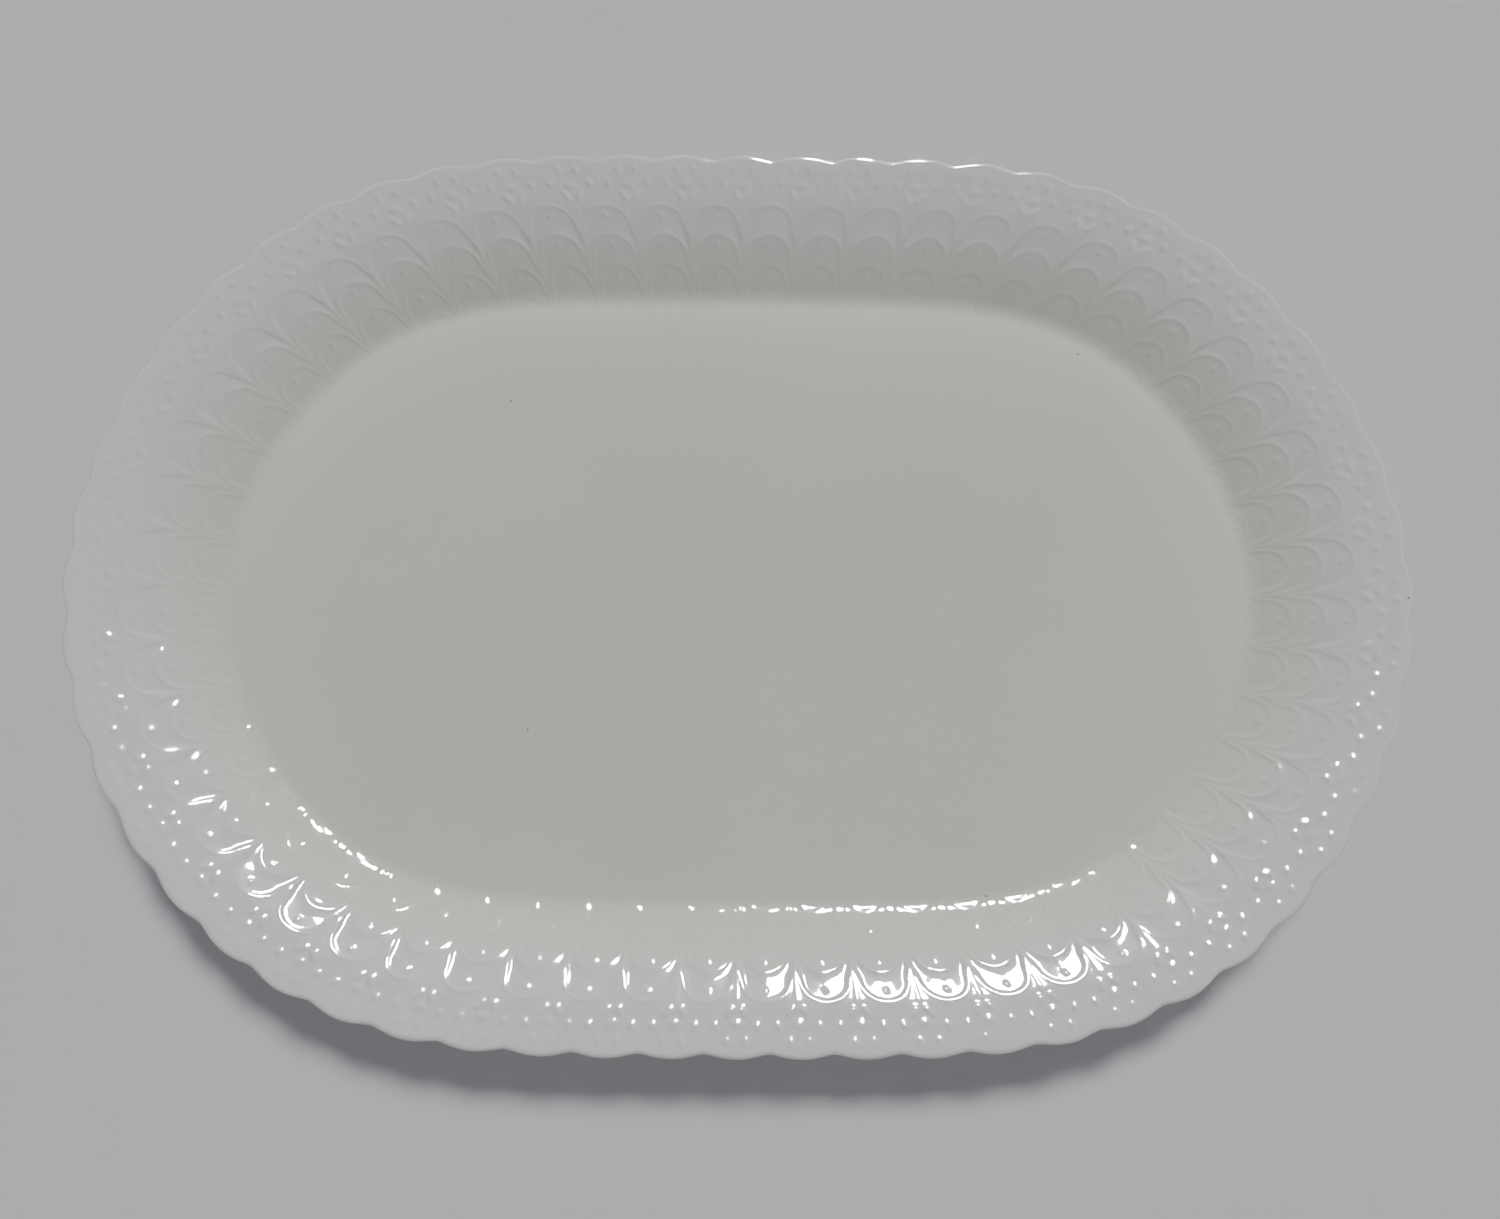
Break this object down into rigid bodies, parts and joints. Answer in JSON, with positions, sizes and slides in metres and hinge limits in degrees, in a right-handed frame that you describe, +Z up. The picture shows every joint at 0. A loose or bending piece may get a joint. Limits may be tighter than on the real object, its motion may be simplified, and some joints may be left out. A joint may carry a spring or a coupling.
{
  "type": "serving platter",
  "caption": "Oval bone-china serving platter with a scalloped rim, a sloping relief border, a flat well and a low foot ring.",
  "frame": {"origin": "on the ground under the middle of the platter, which lies flat on its foot ring", "axes": "+X along the long axis, +Y along the short axis, +Z up out of the well"},
  "size_m": [0.3566, 0.2412, 0.0238],
  "materials": {
    "glazed_bone_china": "glossy clear glaze over a white body"
  },
  "bodies": {
    "root": {"platter_body": "glazed_bone_china"}
  },
  "joints": []
}
